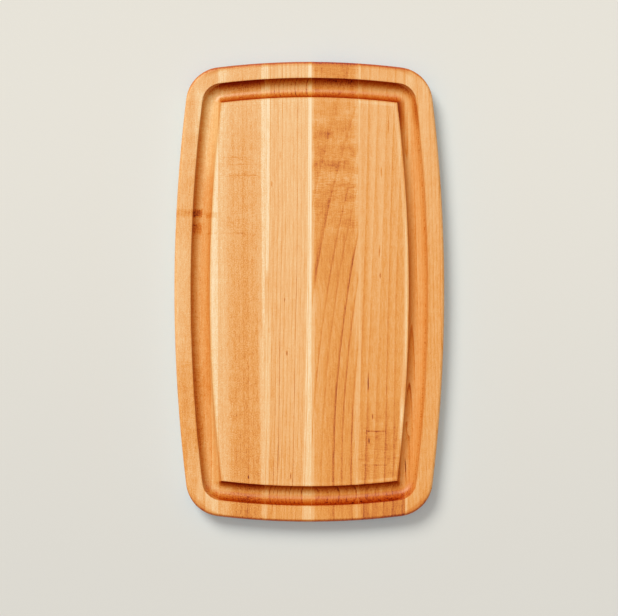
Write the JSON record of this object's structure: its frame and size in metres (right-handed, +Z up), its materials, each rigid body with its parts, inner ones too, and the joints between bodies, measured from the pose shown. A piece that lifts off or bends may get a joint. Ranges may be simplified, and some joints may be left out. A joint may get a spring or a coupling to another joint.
{
  "type": "cutting board",
  "caption": "Edge-glued hardwood carving board with bowed sides, rounded corners and a wide juice groove parallel to its outline.",
  "frame": {"origin": "centre of the underside, on the surface that the board lies on", "axes": "+Y along the grain and the board's length, +X across the staves, +Z up out of the cutting surface"},
  "size_m": [0.2684, 0.4572, 0.0191],
  "materials": {
    "pale_wood": "satin",
    "honey_wood": "satin",
    "amber_wood": "satin",
    "glue": "satin"
  },
  "bodies": {
    "root": {"outer_left_stave": "pale_wood", "left_stave": "honey_wood", "centre_left_stave": "honey_wood", "centre_right_stave": "amber_wood", "right_stave": "honey_wood", "outer_right_stave": "amber_wood", "glue_line_1": "glue", "glue_line_2": "glue", "glue_line_3": "glue", "glue_line_4": "glue", "glue_line_5": "glue"}
  },
  "joints": []
}
